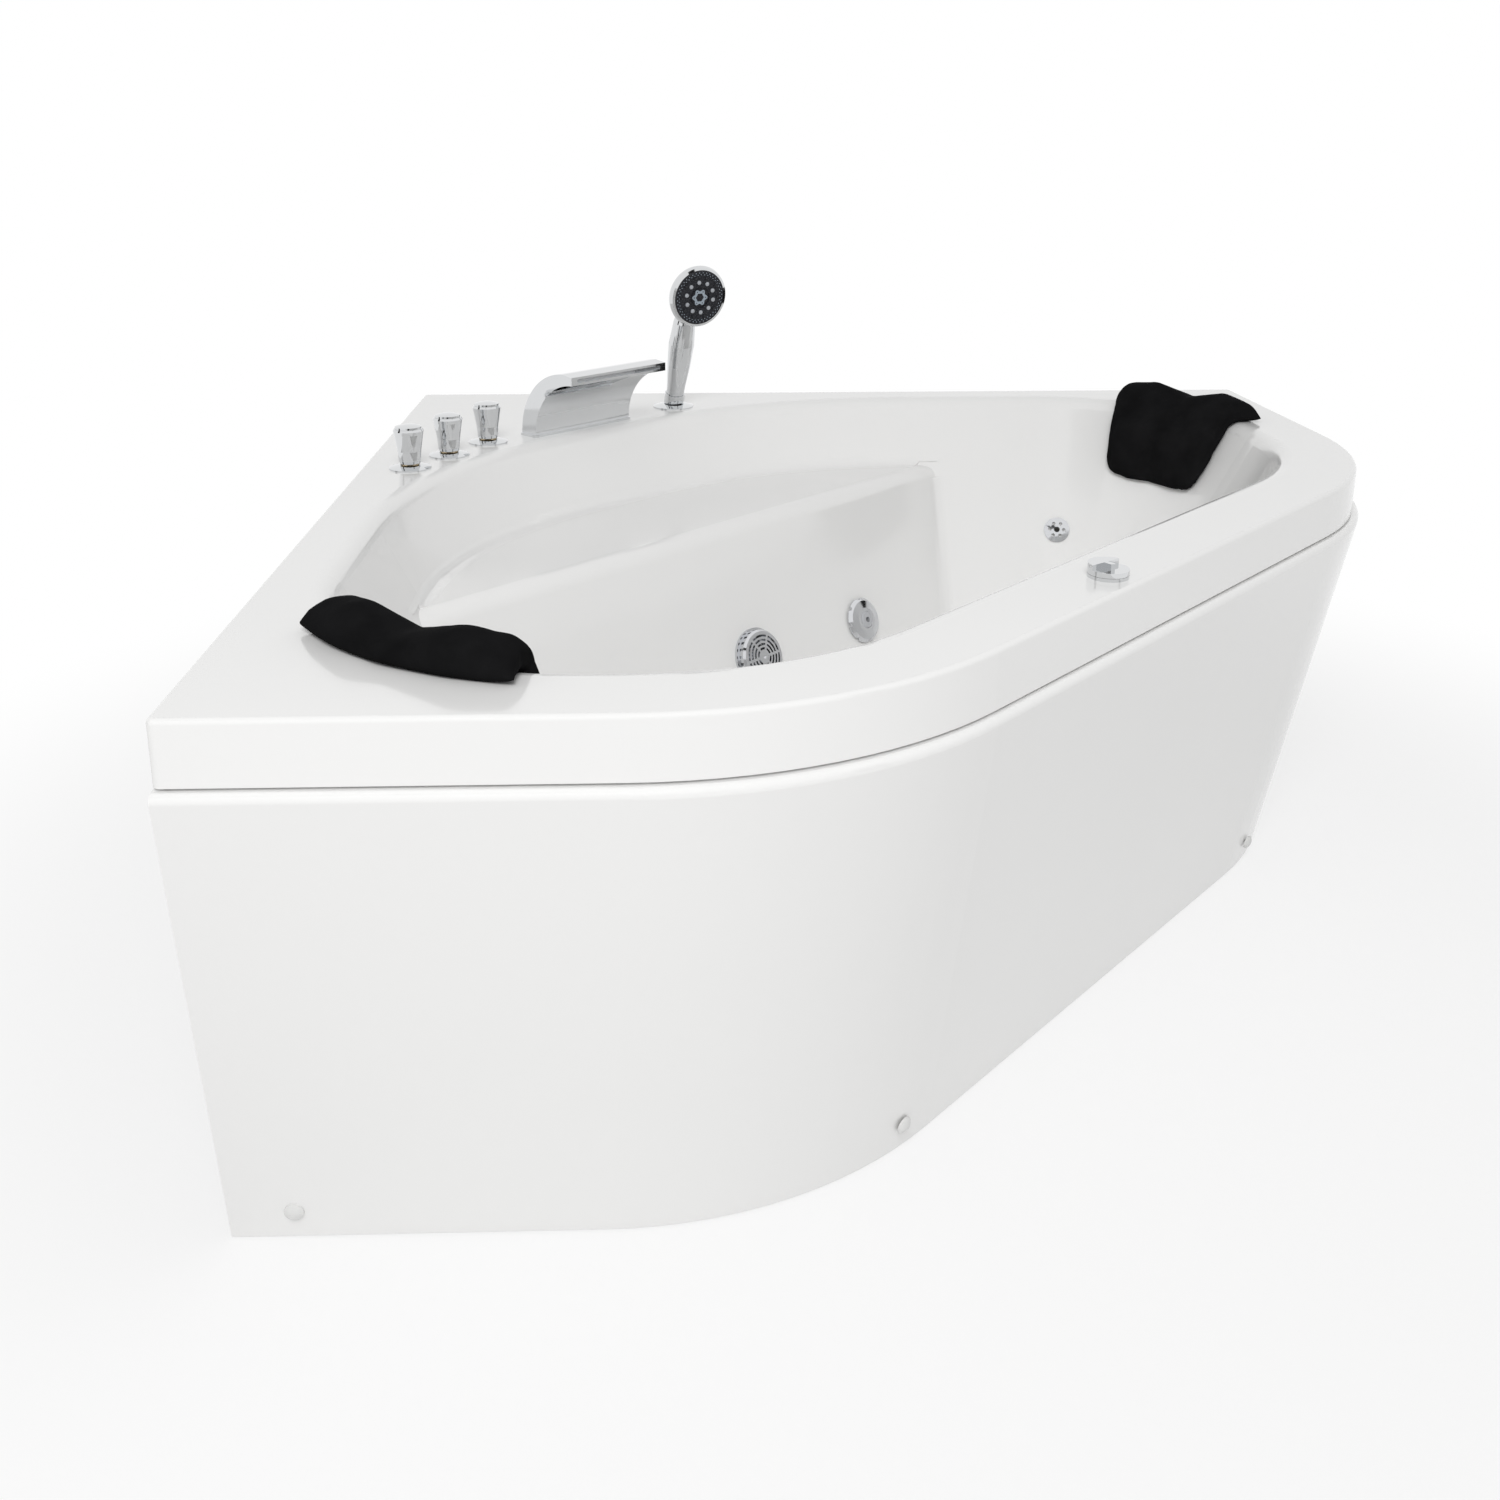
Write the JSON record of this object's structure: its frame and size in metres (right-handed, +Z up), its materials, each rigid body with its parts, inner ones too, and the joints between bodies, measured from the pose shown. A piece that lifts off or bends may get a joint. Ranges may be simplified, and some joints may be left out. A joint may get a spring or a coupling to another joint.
{
  "type": "corner jetted bathtub",
  "caption": "Corner jetted bathtub with a corner bench, curved front skirt, jets, padded headrests, sheet spout and hand shower.",
  "frame": {"origin": "centre of the bounding box at floor level, under the foot pads", "axes": "+Z up; +Y towards the back wall and -X towards the left wall, so the curved front of the corner tub faces +X -Y"},
  "size_m": [1.5086, 1.5086, 0.8544],
  "materials": {
    "shell": "gloss white sanitary acrylic",
    "skirt": "gloss white sanitary acrylic",
    "cap_white": "gloss white",
    "chrome": "polished chrome",
    "jet_chrome": "satin chrome-plated plastic",
    "spray_face": "dark grey soft-touch face",
    "nozzle_rubber": "soft silicone nozzles",
    "jet_dark": "matte dark grey",
    "pillow": "black padded vinyl with a low sheen",
    "brass": "machined brass",
    "pipe_white": "white glued pipe",
    "fitting_white": "white moulded fitting",
    "nut_plastic": "light grey moulded nut",
    "rubber": "black rubber",
    "frame_paint": "grey powder-coated steel tube",
    "zinc": "zinc-plated steel",
    "board": "raw plywood",
    "pump_plastic": "matte black moulding",
    "motor_paint": "cast ribbed casing",
    "supply_pipe": "bare copper-coloured pipe"
  },
  "bodies": {
    "tub": {"air_control_body": "chrome", "back_jet_bodies": "fitting_white", "back_jet_faces": "jet_chrome", "base_rails": "frame_paint", "deck_nuts": "brass", "drain_flange": "chrome", "escutcheons": "chrome", "floor_bearers": "frame_paint", "floor_board": "board", "foot_nuts": "zinc", "foot_pads": "rubber", "foot_rods": "zinc", "front_skirt": "skirt", "jet_bodies": "fitting_white", "leg_frame": "frame_paint", "mixer_pipes": "supply_pipe", "motor_covers": "pump_plastic", "overflow_body": "fitting_white", "overflow_pipe": "pipe_white", "pump_board": "board", "pump_foot": "pump_plastic", "pump_motor": "motor_paint", "pump_volute": "pump_plastic", "screw_caps": "cap_white", "shower_flange": "chrome", "skirt_blocks": "board", "skirt_screws": "zinc", "spout": "chrome", "spout_base": "chrome", "suction_body": "jet_chrome", "suction_elbow": "fitting_white", "suction_grille": "jet_chrome", "suction_pipe": "pipe_white", "tub_shell": "shell", "valve_bodies": "brass", "wall_nuts": "nut_plastic", "wall_posts": "frame_paint", "waste_shoe": "fitting_white", "water_pipes": "pipe_white"},
    "knob_hot": {"knob_hot": "chrome", "knob_cap_hot": "chrome"},
    "knob_cold": {"knob_cold": "chrome", "knob_cap_cold": "chrome"},
    "knob_diverter": {"knob_diverter": "chrome", "knob_cap_diverter": "chrome"},
    "air_dial": {"air_control_dial": "chrome"},
    "shower_socket": {"shower_guide": "chrome", "shower_guide_nut": "brass"},
    "handset": {"shower_handset": "chrome"},
    "spray_disc": {"spray_face": "spray_face", "spray_nozzles": "nozzle_rubber"},
    "jet_bezel_left": {"jet_bezel_left": "jet_chrome"},
    "jet_bezel_right": {"jet_bezel_right": "jet_chrome"},
    "jet_nozzle_left": {"jet_nozzle_left": "jet_dark"},
    "jet_nozzle_right": {"jet_nozzle_right": "jet_dark"},
    "overflow_dial": {"overflow_dial": "chrome"},
    "drain_plug": {"drain_plug": "chrome"},
    "pump_rotor": {"pump_rotor": "fitting_white"},
    "pillow_left": {"pillow_left": "pillow"},
    "pillow_right": {"pillow_right": "pillow"}
  },
  "joints": [
    {"name": "hot_tap_turn", "type": "hinge", "parent": "tub", "child": "knob_hot", "pos_m": [-0.68228, 0.16928, 0.6], "axis": [0, 0, 1], "range_deg": [0, 90]},
    {"name": "cold_tap_turn", "type": "hinge", "parent": "tub", "child": "knob_cold", "pos_m": [-0.63728, 0.25128, 0.6], "axis": [0, 0, 1], "range_deg": [0, 90]},
    {"name": "diverter_turn", "type": "hinge", "parent": "tub", "child": "knob_diverter", "pos_m": [-0.58928, 0.34128, 0.6], "axis": [0, 0, 1], "range_deg": [0, 180]},
    {"name": "air_control_turn", "type": "hinge", "parent": "tub", "child": "air_dial", "pos_m": [0.18069, -0.37585, 0.6], "axis": [0, 0, 1], "range_deg": [0, 180]},
    {"name": "shower_socket_turn", "type": "hinge", "parent": "tub", "child": "shower_socket", "pos_m": [-0.29628, 0.62328, 0.6], "axis": [0, 0, 1], "range_deg": [-30, 60]},
    {"name": "handset_lift", "type": "slide", "parent": "shower_socket", "child": "handset", "axis": [0.1251, -0.2456, 0.9613], "range_m": [0, 0.12]},
    {"name": "spray_mode_turn", "type": "hinge", "parent": "handset", "child": "spray_disc", "pos_m": [-0.25814, 0.54843, 0.804], "axis": [0.4496, -0.8823, -0.1392], "range_deg": [0, 120]},
    {"name": "jet_left_flow_turn", "type": "hinge", "parent": "tub", "child": "jet_bezel_left", "pos_m": [-0.35449, -0.01038, 0.291], "axis": [0.6601, -0.6601, 0.3584], "range_deg": [0, 90]},
    {"name": "jet_right_flow_turn", "type": "hinge", "parent": "tub", "child": "jet_bezel_right", "pos_m": [0.01038, 0.35449, 0.291], "axis": [0.6601, -0.6601, 0.3584], "range_deg": [0, 90]},
    {"name": "jet_left_aim", "type": "hinge", "parent": "jet_bezel_left", "child": "jet_nozzle_left", "pos_m": [-0.35317, -0.0117, 0.29172], "axis": [0.7071, 0.7071, 0], "range_deg": [-12, 12]},
    {"name": "jet_right_aim", "type": "hinge", "parent": "jet_bezel_right", "child": "jet_nozzle_right", "pos_m": [0.0117, 0.35317, 0.29172], "axis": [0.7071, 0.7071, 0], "range_deg": [-12, 12]},
    {"name": "overflow_dial_turn", "type": "hinge", "parent": "tub", "child": "overflow_dial", "pos_m": [0.19967, -0.19967, 0.52], "axis": [-0.63, 0.63, 0.454], "range_deg": [0, 90]},
    {"name": "drain_plug_lift", "type": "slide", "parent": "tub", "child": "drain_plug", "axis": [0, 0, 1], "range_m": [0, 0.0095]},
    {"name": "pump_rotor_spin", "type": "hinge", "parent": "tub", "child": "pump_rotor", "pos_m": [-0.47143, 0.37244, 0.144], "axis": [0.7071, 0.7071, 0], "continuous": true},
    {"name": "pillow_left_lift", "type": "slide", "parent": "tub", "child": "pillow_left", "axis": [0, 0, 1], "range_m": [0, 0.06]},
    {"name": "pillow_right_lift", "type": "slide", "parent": "tub", "child": "pillow_right", "axis": [0, 0, 1], "range_m": [0, 0.06]}
  ],
  "couplings": [
    {"joint": "drain_plug_lift", "follows": "overflow_dial_turn", "m_per_rad": 0.006}
  ]
}
